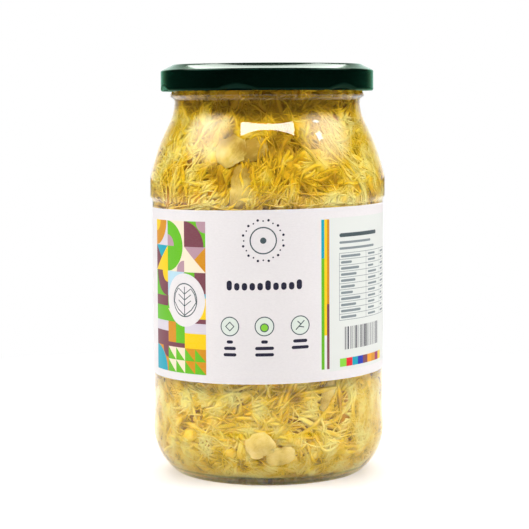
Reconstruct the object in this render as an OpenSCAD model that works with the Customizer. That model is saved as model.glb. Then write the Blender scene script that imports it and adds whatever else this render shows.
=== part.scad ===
// Sauerkraut jar: a round glass preserving jar with a six-lug twist-off lid, a paper label
// wrapped round it and sauerkraut packed up to its mouth.
// Millimetres, +Z up, the label's front faces -Y, the origin is the centre of the ring
// that the jar stands on.

/* [Jar] */
// Diameter of the straight panel that carries the label
panel_d = 92; // [76:0.5:112]
// Height of the glass, from its standing ring to its rim
jar_h = 162.1; // [134:0.1:196]
// Thickness of the side wall
wall = 2.4; // [1.8:0.1:3]
// Thickness of the bottom at its centre
bottom_t = 4.5; // [3:0.1:6]
// How far the middle of the underside is pushed up
push_up = 3.5; // [1:0.1:5]
// Width of the flat ring that the jar stands on
stand_w = 3; // [1.5:0.1:5]

/* [Heel] */
// Height at which the heel reaches its widest
heel_h = 18; // [15:0.5:21]
// Radius of the long curve of the heel
heel_r = 22; // [20:0.5:26]
// Radius of the foot, where the heel turns under
foot_r = 4; // [3:0.1:5]
// How far the heel stands proud of the label panel
heel_out = 0.4; // [0:0.1:1]
// Inner radius between the floor and the wall
floor_corner = 13; // [10:0.5:15]
// Radius of the floor's shallow dome
floor_dome = 160; // [130:5:240]

/* [Shoulder] */
// How far the shoulder stands proud of the label panel
shoulder_out = 0.8; // [0.2:0.1:1.2]
// Length over which the panel swells into the heel
heel_swell = 6; // [3:0.5:10]
// Length over which the panel swells into the shoulder
shoulder_swell = 2.2; // [1.5:0.1:5]
// Height of the straight band at the shoulder's widest
shoulder_band = 5.8; // [2:0.1:9]
// Height of the sloping shoulder, from the band to the neck
shoulder_h = 31.8; // [26:0.1:39]
// Radius of the bend at the top of the band
shoulder_bend = 12; // [9:0.5:14]
// Radius of the hollow curve that runs into the neck
neck_hollow = 20; // [16:0.5:24]

/* [Neck and mouth] */
// Diameter of the neck at its narrowest
neck_d = 74; // [61:0.5:89]
// Height of the straight neck under its bead
neck_h = 0.6; // [0.2:0.1:3]
// How far the neck bead stands out from the neck
bead_out = 1.6; // [1.2:0.1:2.4]
// Radius of the neck bead's round edge
bead_r = 0.9; // [0.6:0.1:1.1]
// How far the mouth's wall stands out from the neck
mouth_out = 1; // [0.6:0.1:1.2]
// How far a thread stands out from the mouth's wall
thread_out = 2.4; // [1.4:0.1:3]
// Height of a thread
thread_h = 1.6; // [1:0.1:2.2]
// Length of a thread round the mouth, in degrees
thread_arc = 44; // [30:1:52]
// Radius of the rim's round edges
rim_r = 1.3; // [0.8:0.1:1.4]

/* [Lid] */
// Height of the lid
lid_h = 10.5; // [9.6:0.1:12]
// Thickness of the tinplate
lid_t = 0.3; // [0.2:0.05:0.4]
// Thickness of the rolled edge
curl_d = 1.6; // [1.2:0.1:2]
// Number of lugs, and of threads
lugs = 6; // [4:1:8]
// Length of a lug round the edge, in degrees
lug_arc = 11; // [6:1:16]
// Angle of the first lug, from the front of the jar
lug_turn = -16; // [-30:1:30]
// Radius of the corner at the top of the skirt
skirt_corner = 1; // [0.6:0.1:1.4]
// Slope of the lid's shoulder
shoulder_slope = 20; // [12:1:24]
// Width of the flat ring that presses on the rim
seal_w = 2.6; // [2.2:0.1:3]
// Depth of the panel inside that ring
panel_drop = 0.9; // [0.7:0.05:1.2]
// Radius of the small bends pressed into the top
press_r = 0.6; // [0.45:0.05:0.7]
// Radius of the safety button
button_r = 14; // [8:0.5:18]
// Height of the safety button
button_h = 0.55; // [0.3:0.05:0.65]

/* [Label] */
// Thickness of the paper
label_t = 0.12; // [0.08:0.01:0.3]
// Bare glass between the heel's swell and the label
label_foot = 17; // [3:0.5:30]
// Bare glass between the label and the shoulder's swell
label_head = 1.3; // [1.1:0.1:6]
// How far the label's edges slope up to the right, in degrees
label_skew = 1; // [0:0.1:1.2]
// Width of the bare glass between the label's ends
label_seam = 11; // [2:0.5:30]

/* [Clearances] */
// Between the neck bead and the lid's edge
bead_gap = 0.6; // [0.3:0.1:1.5]
// Between the threads and the rolled edge, and round the lugs
lid_gap = 0.3; // [0.2:0.05:0.5]
// Glue between the glass and the label
glue_gap = 0.05; // [0.02:0.01:0.1]
// Between the sauerkraut and the glass
fill_gap = 0.05; // [0.02:0.01:0.1]
// Free height between the sauerkraut and the lid
head_space = 3; // [1:0.1:3.5]

/* [Hidden] */
$fn = 160;
over = 1;                  // how far a cutter runs past what it cuts
arc_step = 5;              // degrees between the points of an arc
bend_share = 0.35;         // share of the shoulder's whole turn that its bend takes
thread_rise = 0.5;         // how far a thread's underside rises towards its edge
ring_turn = 35;            // where the bend outside the flat ring leaves the lid's shoulder
seal_turn = 60;            // turn of the bend inside the flat ring
button_turn = 30;          // turn of the bends round the button

panel_r = panel_d / 2;
heel_out_r = panel_r + heel_out;
shoulder_out_r = panel_r + shoulder_out;
inner_r = panel_r - wall;
neck_r = neck_d / 2;
bore_r = neck_r - wall;
mouth_r = neck_r + mouth_out;
thread_r = mouth_r + thread_out;

lid_r = thread_r + lid_gap + curl_d;
lid_top = jar_h + lid_t;
lid_foot = lid_top - lid_h;
lug_r = mouth_r + lid_gap;

bead_z = lid_foot - bead_gap - bead_r;
neck_top = bead_z - bead_out;
neck_z = neck_top - neck_h;
bend_z = neck_z - shoulder_h;
shoulder_z = bend_z - shoulder_band;
panel_top = shoulder_z - shoulder_swell;
panel_foot = heel_h + heel_swell;
label_low = panel_foot + label_foot;
label_high = panel_top - label_head;
thread_z = lid_foot + curl_d + lid_gap;
fill_z = lid_top - lid_t - panel_drop - head_space;

// Points of an arc about a centre, between two directions of the surface's outward
// normal. A hollow arc has a negative radius. The arc is set back by inset.
function arc(centre, r, from, to, inset = 0) =
    let (n = max(2, ceil(abs(to - from) / arc_step)))
    [for (i = [0:n]) let (a = from + (to - from) * i / n)
        centre + (r - inset) * [cos(a), sin(a)]];

// Points that ease from one radius and height to another, upright at both ends
function swell(r0, z0, r1, z1, n = 8) =
    [for (i = [1:n - 1]) [r0 + (r1 - r0) * (1 - cos(180 * i / n)) / 2, z0 + (z1 - z0) * i / n]];

// The shoulder: a bend at the top of the wall, a long curve, and a hollow into the neck.
// The long curve touches both of the others, which fixes its radius.
function shoulder(r_body, r_neck, bend, hollow) =
    let (turn = 2 * atan((r_body - r_neck) / shoulder_h) * bend_share,
         normal = [cos(turn), sin(turn)],
         bend_c = [r_body - bend, bend_z],
         start = bend_c + bend * normal,
         hollow_c = [r_neck + hollow, neck_z],
         gap = start - hollow_c,
         long_r = (gap * gap - hollow * hollow) / (2 * (hollow + gap * normal)),
         long_c = start - long_r * normal,
         way = hollow_c - long_c,
         meet = atan2(way.y, way.x))
    concat(arc(bend_c, bend, 0, turn),
           arc(long_c, long_r, turn, meet),
           arc(hollow_c, -hollow, meet, 0));

// The cavity's line, from the middle of the floor to the top of the neck's hollow
function cavity(inset) =
    let (dome_z = push_up + bottom_t - floor_dome,
         corner_x = inner_r - floor_corner,
         reach = floor_dome + floor_corner,
         corner_z = dome_z + sqrt(reach * reach - corner_x * corner_x),
         lean = asin(corner_x / reach))
    concat(arc([0, dome_z], -floor_dome, -90, -90 - lean, inset),
           arc([corner_x, corner_z], floor_corner, -90 - lean, 0, inset),
           shoulder(inner_r - inset, bore_r - inset,
                    shoulder_bend - wall - inset, neck_hollow + wall + inset));

// The outside of the glass, from the middle of the underside to the rim
function outside() =
    let (heel_c = [heel_out_r - heel_r, heel_h],
         foot_x = heel_c.x + sqrt(pow(heel_r - foot_r, 2) - pow(heel_h - foot_r, 2)),
         under = asin((heel_h - foot_r) / (heel_r - foot_r)),
         stand_in = foot_x - stand_w,
         push_r = (stand_in * stand_in + push_up * push_up) / (2 * push_up),
         push_lean = asin(stand_in / push_r))
    concat(arc([0, push_up - push_r], -push_r, -90, -90 - push_lean),
           arc([foot_x, foot_r], foot_r, -90, -under),
           arc(heel_c, heel_r, -under, 0),
           swell(heel_out_r, heel_h, panel_r, panel_foot),
           [[panel_r, panel_foot], [panel_r, panel_top]],
           swell(panel_r, panel_top, shoulder_out_r, shoulder_z),
           [[shoulder_out_r, shoulder_z]],
           shoulder(shoulder_out_r, neck_r, shoulder_bend, neck_hollow),
           [[neck_r, neck_top]],
           arc([neck_r + bead_out - bead_r, bead_z], bead_r, -60, 60),
           [[mouth_r, bead_z + bead_r]],
           arc([mouth_r - rim_r, jar_h - rim_r], rim_r, 0, 90),
           arc([bore_r + rim_r, jar_h - rim_r], rim_r, 90, 180));

// The lid's line, from its rolled edge to the middle of its top
function lid_line(inset) =
    let (up = 90 - shoulder_slope,
         ring_out = mouth_r - rim_r / 2,
         ring_in = ring_out - seal_w,
         corner_z = lid_top - press_r * 2 - (lid_r - ring_out) * tan(shoulder_slope),
         step = 90 + seal_turn,
         panel_z = lid_top - panel_drop,
         drop = panel_drop - 2 * press_r * (1 - cos(seal_turn)),
         panel_x = ring_in - 2 * press_r * sin(seal_turn) - drop / tan(seal_turn),
         rise = button_h - 2 * press_r * (1 - cos(button_turn)) - button_h / 3,
         button_x = button_r - 2 * press_r * sin(button_turn) - rise / tan(button_turn),
         dome_h = button_h / 3,
         dome_r = (button_x * button_x + dome_h * dome_h) / (2 * dome_h))
    concat(arc([lid_r - skirt_corner, corner_z], skirt_corner, 0, up, inset),
           arc([ring_out, lid_top - press_r], press_r, ring_turn, 90, inset),
           arc([ring_in, lid_top - press_r], press_r, 90, step, inset),
           arc([panel_x, panel_z + press_r], -press_r, step, 90, inset),
           arc([button_r, panel_z + press_r], -press_r, 90, 90 - button_turn, inset),
           arc([0, panel_z + button_h - dome_r], dome_r, 90 - asin(button_x / dome_r), 90, inset));

// The jar: a blown body with a pushed-up base, a neck bead and a threaded mouth
module glass_jar() {
    color([0.86, 0.93, 0.88, 0.4]) {
        rotate_extrude()
            polygon(concat(outside(), reverse(cavity(0))));
        for (i = [0:lugs - 1])
            rotate([0, 0, lug_angle(i) - thread_arc / 2])
                rotate_extrude(angle = thread_arc)
                    polygon([[mouth_r - over, thread_z],
                             [mouth_r, thread_z],
                             [thread_r, thread_z + thread_rise],
                             [thread_r, thread_z + thread_h],
                             [mouth_r, thread_z + thread_h + thread_out / 2],
                             [mouth_r - over, thread_z + thread_h + thread_out / 2]]);
    }
}

// The lid: pressed tinplate with a rolled edge, from which the lugs are bent inwards
module lid() {
    curl_r = curl_d / 2;
    curl_c = [lid_r - curl_r, lid_foot + curl_r];
    color([0.02, 0.16, 0.1]) {
        rotate_extrude()
            polygon(concat(arc(curl_c, curl_r, -225, 0),
                           lid_line(0),
                           reverse(lid_line(lid_t)),
                           [[lid_r - lid_t, curl_c.y + curl_r]]));
        for (i = [0:lugs - 1])
            rotate([0, 0, lug_angle(i) - lug_arc / 2])
                rotate_extrude(angle = lug_arc)
                    polygon([[lug_r, lid_foot + lid_t],
                             [curl_c.x, lid_foot],
                             [curl_c.x, lid_foot + curl_d],
                             [lug_r, lid_foot + curl_d]]);
    }
}

// The label: one band of paper, cut on the skew, with its ends apart at the back
module label() {
    paper_r = panel_r + glue_gap;
    mid_z = (label_low + label_high) / 2;
    color([0.95, 0.94, 0.94])
        intersection() {
            difference() {
                translate([0, 0, panel_foot])
                    cylinder(r = paper_r + label_t, h = panel_top - panel_foot);
                translate([0, 0, panel_foot - over])
                    cylinder(r = paper_r, h = panel_top - panel_foot + 2 * over);
                translate([-label_seam / 2, 0, panel_foot - over])
                    cube([label_seam, panel_d, panel_top - panel_foot + 2 * over]);
            }
            translate([0, 0, mid_z])
                rotate([0, -label_skew, 0])
                    cube([2 * panel_d, 2 * panel_d, label_high - label_low], center = true);
        }
}

// The contents: sauerkraut in its brine, out to the glass and up to the mouth
module sauerkraut() {
    color([0.87, 0.74, 0.36])
        rotate_extrude()
            polygon(concat(cavity(fill_gap), [[bore_r - fill_gap, fill_z], [0, fill_z]]));
}

function reverse(list) = [for (i = [len(list) - 1:-1:0]) list[i]];
function lug_angle(i) = -90 + lug_turn + i * 360 / lugs;

glass_jar();
lid();
label();
sauerkraut();
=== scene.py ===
"""A jar of sauerkraut with a twist-off lid and a wrap-around label: its looks.

Metres, +Z up, the label's front faces -Y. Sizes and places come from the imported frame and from
the named values below, which are in millimetres times MM.
"""

import math
from dataclasses import dataclass

import bmesh
import bpy
import numpy as np
from mathutils import Matrix, Vector
from mathutils.geometry import delaunay_2d_cdt


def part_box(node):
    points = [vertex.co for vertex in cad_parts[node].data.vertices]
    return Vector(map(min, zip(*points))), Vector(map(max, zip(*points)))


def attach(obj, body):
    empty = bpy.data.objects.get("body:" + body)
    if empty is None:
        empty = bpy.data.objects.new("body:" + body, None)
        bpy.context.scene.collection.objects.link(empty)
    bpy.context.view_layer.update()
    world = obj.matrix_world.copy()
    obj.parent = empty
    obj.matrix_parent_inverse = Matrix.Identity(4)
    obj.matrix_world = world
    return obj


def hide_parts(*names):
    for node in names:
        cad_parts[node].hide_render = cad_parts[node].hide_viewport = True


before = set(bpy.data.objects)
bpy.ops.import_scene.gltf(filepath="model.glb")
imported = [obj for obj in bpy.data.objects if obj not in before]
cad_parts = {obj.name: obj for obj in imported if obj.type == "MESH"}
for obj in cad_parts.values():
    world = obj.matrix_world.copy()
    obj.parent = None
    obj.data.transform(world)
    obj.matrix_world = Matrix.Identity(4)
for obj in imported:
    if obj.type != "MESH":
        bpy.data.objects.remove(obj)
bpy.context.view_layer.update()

MM = 0.001
TAU = 2 * math.pi

# -------------------- sizes, as the jar is blown

JAR_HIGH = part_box("glass_jar")[1]
LID_LOW, LID_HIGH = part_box("lid")
LABEL_LOW, LABEL_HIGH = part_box("label")
FILL_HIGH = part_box("sauerkraut")[1]

WALL = 2.4 * MM
BOTTOM = 4.5 * MM
PUSH_UP = 3.5 * MM
STAND_W = 3 * MM
PANEL_R = 46 * MM
HEEL_H = 18 * MM
HEEL_R = 22 * MM
HEEL_OUT = 0.4 * MM
FOOT_R = 4 * MM
FLOOR_CORNER = 13 * MM
FLOOR_DOME = 160 * MM
SHOULDER_OUT = 0.8 * MM
HEEL_SWELL = 6 * MM
SHOULDER_SWELL = 2.2 * MM
SHOULDER_BAND = 5.8 * MM
SHOULDER_H = 31.8 * MM
SHOULDER_BEND = 12 * MM
NECK_HOLLOW = 20 * MM
NECK_R = 37 * MM
NECK_H = 0.6 * MM
BEAD_OUT = 1.6 * MM
BEAD_R = 0.9 * MM
BEAD_GAP = 0.6 * MM
MOUTH_R = 38 * MM
RIM_R = 1.3 * MM
BEND_SHARE = 0.35

LID_R = 42.3 * MM
LID_T = 0.3 * MM
CURL_R = 0.8 * MM
SKIRT_CORNER = 1 * MM
SHOULDER_SLOPE = 20
SEAL_W = 2.6 * MM
PANEL_DROP = 0.9 * MM
PRESS_R = 0.6 * MM
RING_FROM = 35
PANEL_TURN = 60
BUTTON_R = 14 * MM
BUTTON_H = 0.55 * MM
BUTTON_TURN = 30
LUGS = 6
LUG_ARC = math.radians(11)
LUG_TURN = math.radians(-16)
LUG_REACH = 38.3 * MM
LUG_FOOT = 0.1 * MM
DENT_H = 2.2 * MM
DENT_ARC = math.radians(10)
DENT_IN = 1.2 * MM
SKIRT_ROWS = (0.3, 0.6, 0.9, 1.2, 1.6, 2.4)

RIM_Z = JAR_HIGH.z
INNER_R = PANEL_R - WALL
BORE_R = NECK_R - WALL
BEAD_Z = LID_LOW.z - BEAD_GAP - BEAD_R
NECK_TOP = BEAD_Z - BEAD_OUT
NECK_Z = NECK_TOP - NECK_H
BEND_Z = NECK_Z - SHOULDER_H
SHOULDER_Z = BEND_Z - SHOULDER_BAND
PANEL_TOP = SHOULDER_Z - SHOULDER_SWELL
PANEL_FOOT = HEEL_H + HEEL_SWELL

# -------------------- outlines, radius and height


def arc(centre, radius, start, end, inset=0.0, step=3.0):
    """Points of an arc between two directions of its outward normal, in degrees. A hollow
    arc has a negative radius."""
    count = max(2, math.ceil(abs(end - start) / step))
    turns = [math.radians(start + (end - start) * i / count) for i in range(count + 1)]
    reach = radius - inset
    return [(centre[0] + reach * math.cos(t), centre[1] + reach * math.sin(t)) for t in turns]


def swell(r0, z0, r1, z1, count=8):
    """Points that ease from one radius and height to another, upright at both ends."""
    shares = [i / count for i in range(1, count)]
    return [(r0 + (r1 - r0) * (1 - math.cos(math.pi * s)) / 2, z0 + (z1 - z0) * s) for s in shares]


def shoulder(r_body, r_neck, bend, hollow):
    """A bend at the top of the wall, a long curve that touches it, and a hollow into the neck."""
    turn = 2 * math.atan((r_body - r_neck) / SHOULDER_H) * BEND_SHARE
    normal = Vector((math.cos(turn), math.sin(turn)))
    bend_c = Vector((r_body - bend, BEND_Z))
    hollow_c = Vector((r_neck + hollow, NECK_Z))
    start = bend_c + bend * normal
    gap = start - hollow_c
    long_r = (gap.dot(gap) - hollow**2) / (2 * (hollow + gap.dot(normal)))
    long_c = start - long_r * normal
    way = hollow_c - long_c
    turn, meet = math.degrees(turn), math.degrees(math.atan2(way.y, way.x))
    return (
        arc(bend_c, bend, 0, turn)
        + arc(long_c, long_r, turn, meet, step=1.0)
        + arc(hollow_c, -hollow, meet, 0)
    )


def cavity_line(inset=0.0):
    """The inside of the glass, from the middle of the floor to the top of the neck."""
    dome_z = PUSH_UP + BOTTOM - FLOOR_DOME
    corner_x = INNER_R - FLOOR_CORNER
    reach = FLOOR_DOME + FLOOR_CORNER
    corner_z = dome_z + math.sqrt(reach**2 - corner_x**2)
    lean = math.degrees(math.asin(corner_x / reach))
    wall = shoulder(
        INNER_R - inset,
        BORE_R - inset,
        SHOULDER_BEND - WALL - inset,
        NECK_HOLLOW + WALL + inset,
    )
    return (
        arc((0, dome_z), -FLOOR_DOME, -90, -90 - lean, inset, step=1.0)
        + arc((corner_x, corner_z), FLOOR_CORNER, -90 - lean, 0, inset)
        + wall
    )


def outside_line():
    """The outside of the glass, from the middle of the underside to the neck's top."""
    heel_c = (PANEL_R + HEEL_OUT - HEEL_R, HEEL_H)
    foot_x = heel_c[0] + math.sqrt((HEEL_R - FOOT_R) ** 2 - (HEEL_H - FOOT_R) ** 2)
    under = math.degrees(math.asin((HEEL_H - FOOT_R) / (HEEL_R - FOOT_R)))
    stand_in = foot_x - STAND_W
    push_r = (stand_in**2 + PUSH_UP**2) / (2 * PUSH_UP)
    lean = math.degrees(math.asin(stand_in / push_r))
    return (
        arc((0, PUSH_UP - push_r), -push_r, -90, -90 - lean, step=1.0)
        + arc((foot_x, FOOT_R), FOOT_R, -90, -under)
        + arc(heel_c, HEEL_R, -under, 0)
        + swell(PANEL_R + HEEL_OUT, HEEL_H, PANEL_R, PANEL_FOOT)
        + [(PANEL_R, PANEL_FOOT), (PANEL_R, PANEL_TOP)]
        + swell(PANEL_R, PANEL_TOP, PANEL_R + SHOULDER_OUT, SHOULDER_Z)
        + [(PANEL_R + SHOULDER_OUT, SHOULDER_Z)]
        + shoulder(PANEL_R + SHOULDER_OUT, NECK_R, SHOULDER_BEND, NECK_HOLLOW)
        + [(NECK_R, NECK_TOP)]
        + arc((NECK_R + BEAD_OUT - BEAD_R, BEAD_Z), BEAD_R, -60, 60, step=10)
        + [(MOUTH_R, BEAD_Z + BEAD_R)]
        + arc((MOUTH_R - RIM_R, RIM_Z - RIM_R), RIM_R, 0, 90, step=10)
        + arc((BORE_R + RIM_R, RIM_Z - RIM_R), RIM_R, 90, 180, step=10)
    )


def lid_line(inset=0.0):
    """The lid, from the top of its skirt to the middle of its top."""
    ring_out = MOUTH_R - RIM_R / 2
    ring_in = ring_out - SEAL_W
    slope = math.tan(math.radians(SHOULDER_SLOPE))
    corner_z = LID_HIGH.z - 2 * PRESS_R - (LID_R - ring_out) * slope
    panel_z = LID_HIGH.z - PANEL_DROP
    turn = math.radians(PANEL_TURN)
    drop = PANEL_DROP - 2 * PRESS_R * (1 - math.cos(turn))
    panel_x = ring_in - 2 * PRESS_R * math.sin(turn) - drop / math.tan(turn)
    turn = math.radians(BUTTON_TURN)
    rise = BUTTON_H * 2 / 3 - 2 * PRESS_R * (1 - math.cos(turn))
    button_x = BUTTON_R - 2 * PRESS_R * math.sin(turn) - rise / math.tan(turn)
    dome_h = BUTTON_H / 3
    dome_r = (button_x**2 + dome_h**2) / (2 * dome_h)
    dome_c = (0, panel_z + BUTTON_H - dome_r)
    edge = 90 - math.degrees(math.asin(button_x / dome_r))
    ring_z, sunk_z = LID_HIGH.z - PRESS_R, panel_z + PRESS_R
    return (
        arc((LID_R - SKIRT_CORNER, corner_z), SKIRT_CORNER, 0, 90 - SHOULDER_SLOPE, inset, 10)
        + arc((ring_out, ring_z), PRESS_R, RING_FROM, 90, inset, 10)
        + arc((ring_in, ring_z), PRESS_R, 90, 90 + PANEL_TURN, inset, 10)
        + arc((panel_x, sunk_z), -PRESS_R, 90 + PANEL_TURN, 90, inset, 10)
        + arc((BUTTON_R, sunk_z), -PRESS_R, 90, 90 - BUTTON_TURN, inset, 10)
        + arc(dome_c, dome_r, edge, 90, inset, 0.5)
    )


# -------------------- making meshes

JAR_STEPS = 192
LID_STEPS = 216
CORE_STEPS = 96


def spun(bm, geom, angle, steps, **how):
    """Sweeps a bmesh's geometry about the jar's axis."""
    axis = {"cent": (0, 0, 0), "axis": (0, 0, 1)}
    bmesh.ops.spin(bm, geom=geom, angle=angle, steps=steps, **axis, **how)


def turned(outline, steps, closed=False):
    """A bmesh of an outline spun a full turn about the jar's axis. A closed outline is a
    section whose end joins its start."""
    bm = bmesh.new()
    points = [bm.verts.new((x, 0, z)) for x, z in outline]
    edges = [bm.edges.new(pair) for pair in zip(points, points[1:])]
    if closed:
        edges.append(bm.edges.new((points[-1], points[0])))
    spun(bm, points + edges, TAU, steps, use_merge=True)
    bmesh.ops.remove_doubles(bm, verts=bm.verts, dist=0.001 * MM)
    bmesh.ops.recalc_face_normals(bm, faces=bm.faces)
    return bm


def smooth(bm, sharp=50):
    """Smooth shading, but for the edges that turn by more than sharp degrees."""
    for face in bm.faces:
        face.smooth = True
    for edge in bm.edges:
        if len(edge.link_faces) == 2:
            edge.smooth = edge.calc_face_angle(0) < math.radians(sharp)


def finished(name, bm, slot, *materials, replaces=None):
    """A piece from a bmesh, which is used up."""
    mesh = bpy.data.meshes.new(name)
    bm.to_mesh(mesh)
    bm.free()
    placed(name, mesh, slot, *materials, replaces=replaces)


def linked(name, data):
    """A new object in the scene."""
    thing = bpy.data.objects.new(name, data)
    bpy.context.scene.collection.objects.link(thing)
    return thing


def placed(name, mesh, slot, *materials, replaces=None):
    """A piece from a finished mesh, with its finish and the node it stands for. Its slot is not
    used.
    """
    piece = linked(name, mesh)
    for material in materials:
        mesh.materials.append(material)
    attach(piece, "root")
    if replaces:
        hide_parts(replaces)


# -------------------- materials


class Nodes:
    """A node tree, built by short calls."""

    def __init__(self, tree):
        self.nodes = tree.nodes
        self.links = tree.links

    def add(self, kind, settings=None, **inputs):
        """A node of that kind, with settings on the node and values or sockets on its inputs."""
        node = self.nodes.new("ShaderNode" + kind)
        for key, value in (settings or {}).items():
            setattr(node, key, value)
        for key, value in inputs.items():
            self.put(node, key.replace("_", " "), value)
        return node

    def put(self, node, key, value):
        """Puts a value or a link on an input, by its name, or by n and its number."""
        socket = node.inputs[int(key[1:]) if key[0] == "n" and key[1:].isdigit() else key]
        if isinstance(value, bpy.types.NodeSocket):
            self.links.new(value, socket)
        else:
            socket.default_value = value


class Finish(Nodes):
    """A node material with one Principled shader."""

    def __init__(self, name):
        self.material = bpy.data.materials.new(name)
        self.material.use_nodes = True
        super().__init__(self.material.node_tree)
        self.shader = self.nodes["Principled BSDF"]
        self.output = self.nodes["Material Output"]

    def set(self, **inputs):
        for key, value in inputs.items():
            self.put(self.shader, key.replace("_", " "), value)

    def coordinates(self, scale=(1, 1, 1), kind="Object"):
        texture = self.add("TexCoord")
        mapping = self.add("Mapping", Vector=texture.outputs[kind], Scale=scale)
        return mapping.outputs["Vector"]

    def noise(self, vector, scale, detail=3.0, roughness=0.5):
        inputs = {"Vector": vector, "Scale": scale, "Detail": detail, "Roughness": roughness}
        return self.add("TexNoise", **inputs).outputs["Fac"]

    def ramp(self, factor, *stops):
        """Colours or greys at their places along a factor."""
        node = self.add("ValToRGB", Fac=factor)
        elements = node.color_ramp.elements
        while len(elements) < len(stops):
            elements.new(1.0)
        for element, (place, colour) in zip(elements, stops):
            element.position = place
            if not hasattr(colour, "__len__"):
                colour = (colour, colour, colour)
            element.color = (*colour[:3], 1)
        return node.outputs["Color"]

    def mix(self, factor, colour, plain):
        """A colour from a node, turned towards a plain one by a factor."""
        node = self.add("Mix", {"data_type": "RGBA"}, n0=factor, n6=colour, n7=(*plain, 1))
        return node.outputs[2]

    def maths(self, operation, a, b):
        return self.add("Math", {"operation": operation}, n0=a, n1=b).outputs[0]

    def bump(self, height, strength, distance):
        node = self.add("Bump", Height=height, Strength=strength, Distance=distance)
        self.set(Normal=node.outputs["Normal"])


def srgb(red, green, blue):
    """A colour as a painter names it, from 0 to 255, in linear light."""
    values = [c / 255 for c in (red, green, blue)]
    return tuple(v / 12.92 if v <= 0.04045 else ((v + 0.055) / 1.055) ** 2.4 for v in values)


def jar_glass():
    """Clear glass with a faint green where the heel is thick, a painted pale line and a painted
    dark line across the heel that stand for its reflection and refraction, and a blown surface's
    waviness.
    """
    f = Finish("jar_glass")
    place = f.add("SeparateXYZ", Vector=f.coordinates()).outputs["Z"]
    height = f.maths("DIVIDE", place, 16 * MM)
    # green for the thick heel, a painted highlight line from 0.15 to 0.19 and a painted dark line
    # from 0.215 to 0.24
    green_and_painted_lines = f.ramp(
        height,
        (0.0, (0.42, 0.48, 0.04)),
        (0.11, (0.55, 0.6, 0.1)),
        (0.15, (1.0, 1.0, 0.85)),
        (0.19, (1.0, 1.0, 0.85)),
        (0.215, (0.42, 0.44, 0.2)),
        (0.24, (0.42, 0.44, 0.2)),
        (0.28, (0.96, 0.98, 0.9)),
        (0.9, (1.0, 1.0, 1.0)),
    )
    scuffs = f.noise(f.coordinates((1, 1, 0.25)), 900, 4)
    f.set(
        Base_Color=green_and_painted_lines,
        Roughness=f.ramp(scuffs, (0.45, 0.0), (0.8, 0.06)),
        IOR=1.46,
    )
    f.shader.inputs["Transmission Weight"].default_value = 1.0
    f.bump(f.noise(f.coordinates(), 45, 2), 0.25, 0.12 * MM)
    let_light_in(f)
    return f.material


def let_light_in(f):
    """Lets lamps and soft bounced light through to what the glass holds."""
    path = f.add("LightPath")
    clear = f.add("BsdfTransparent")
    surface = f.shader.outputs[0]
    for ray in ("Is Diffuse Ray", "Is Shadow Ray"):
        mixed = f.add("MixShader", Fac=path.outputs[ray], n1=surface, n2=clear.outputs[0])
        surface = mixed.outputs[0]
    f.put(f.output, "Surface", surface)


def wetted_glass():
    """The inner face of the glass, which brine wets, so that it mirrors and bends nothing."""
    f = Finish("wetted_glass")
    f.put(f.output, "Surface", f.add("BsdfTransparent").outputs[0])
    f.nodes.remove(f.shader)
    return f.material


def lid_enamel(name, varnish):
    """Glossy dark green enamel over tinplate, with small pale specks and slight rubs."""
    f = Finish(name)
    cloud = f.noise(f.coordinates(), 60, 3)
    green = f.ramp(cloud, (0.3, (0.0010, 0.0085, 0.0050)), (0.7, (0.0014, 0.0115, 0.0070)))
    # small pale specks scattered over the enamel
    speck_cells = f.add("TexVoronoi", Vector=f.coordinates(), Scale=260.0)
    keep = f.noise(f.coordinates(), 120, 1)
    near = f.ramp(speck_cells.outputs["Distance"], (0.05, 1.0), (0.1, 0.0))
    speck = f.maths("MULTIPLY", near, f.ramp(keep, (0.68, 0.0), (0.72, 1.0)))
    f.set(
        Base_Color=f.mix(speck, green, (0.35, 0.4, 0.38)),
        Metallic=0.8,
        Roughness=f.ramp(cloud, (0.3, 0.16), (0.7, 0.24)),
        Specular_IOR_Level=0.15,
        Specular_Tint=(0.06, 0.55, 0.34, 1.0),
        Sheen_Weight=0.12,
        Sheen_Tint=(0.03, 0.75, 0.42, 1.0),
        Sheen_Roughness=0.35,
        Coat_Weight=varnish,
        Coat_Roughness=0.12,
    )
    f.bump(f.noise(f.coordinates(), 1600, 2), 0.06, 0.05 * MM)
    return f.material


def label_paper():
    """Coated white paper: a faint fibre cloud and a soft sheen."""
    f = Finish("label_paper")
    fibre = f.noise(f.coordinates((1, 1, 2.5)), 900, 5, 0.6)
    cloud = f.noise(f.coordinates(), 25, 2)
    white = f.ramp(fibre, (0.3, srgb(216, 211, 211)), (0.7, srgb(222, 217, 217)))
    f.set(
        Base_Color=f.mix(f.maths("MULTIPLY", cloud, 0.12), white, srgb(212, 208, 210)),
        Roughness=f.ramp(fibre, (0.3, 0.42), (0.7, 0.52)),
        Specular_IOR_Level=0.35,
    )
    f.bump(fibre, 0.12, 0.03 * MM)
    return f.material


def ink(name, colour):
    """One printed colour on the coated paper, with the paper's faint mottle in it."""
    f = Finish("ink_" + name)
    mottle = f.noise(f.coordinates((1, 1, 2.5)), 900, 5, 0.6)
    colour = tuple(c * 0.84 for c in colour)
    paler = tuple(c + (0.7 - c) * 0.03 for c in colour)
    f.set(
        Base_Color=f.ramp(mottle, (0.35, colour), (0.75, paler)),
        Roughness=f.ramp(mottle, (0.3, 0.38), (0.7, 0.48)),
        Specular_IOR_Level=0.15,
    )
    f.bump(mottle, 0.1, 0.02 * MM)
    return f.material


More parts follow.
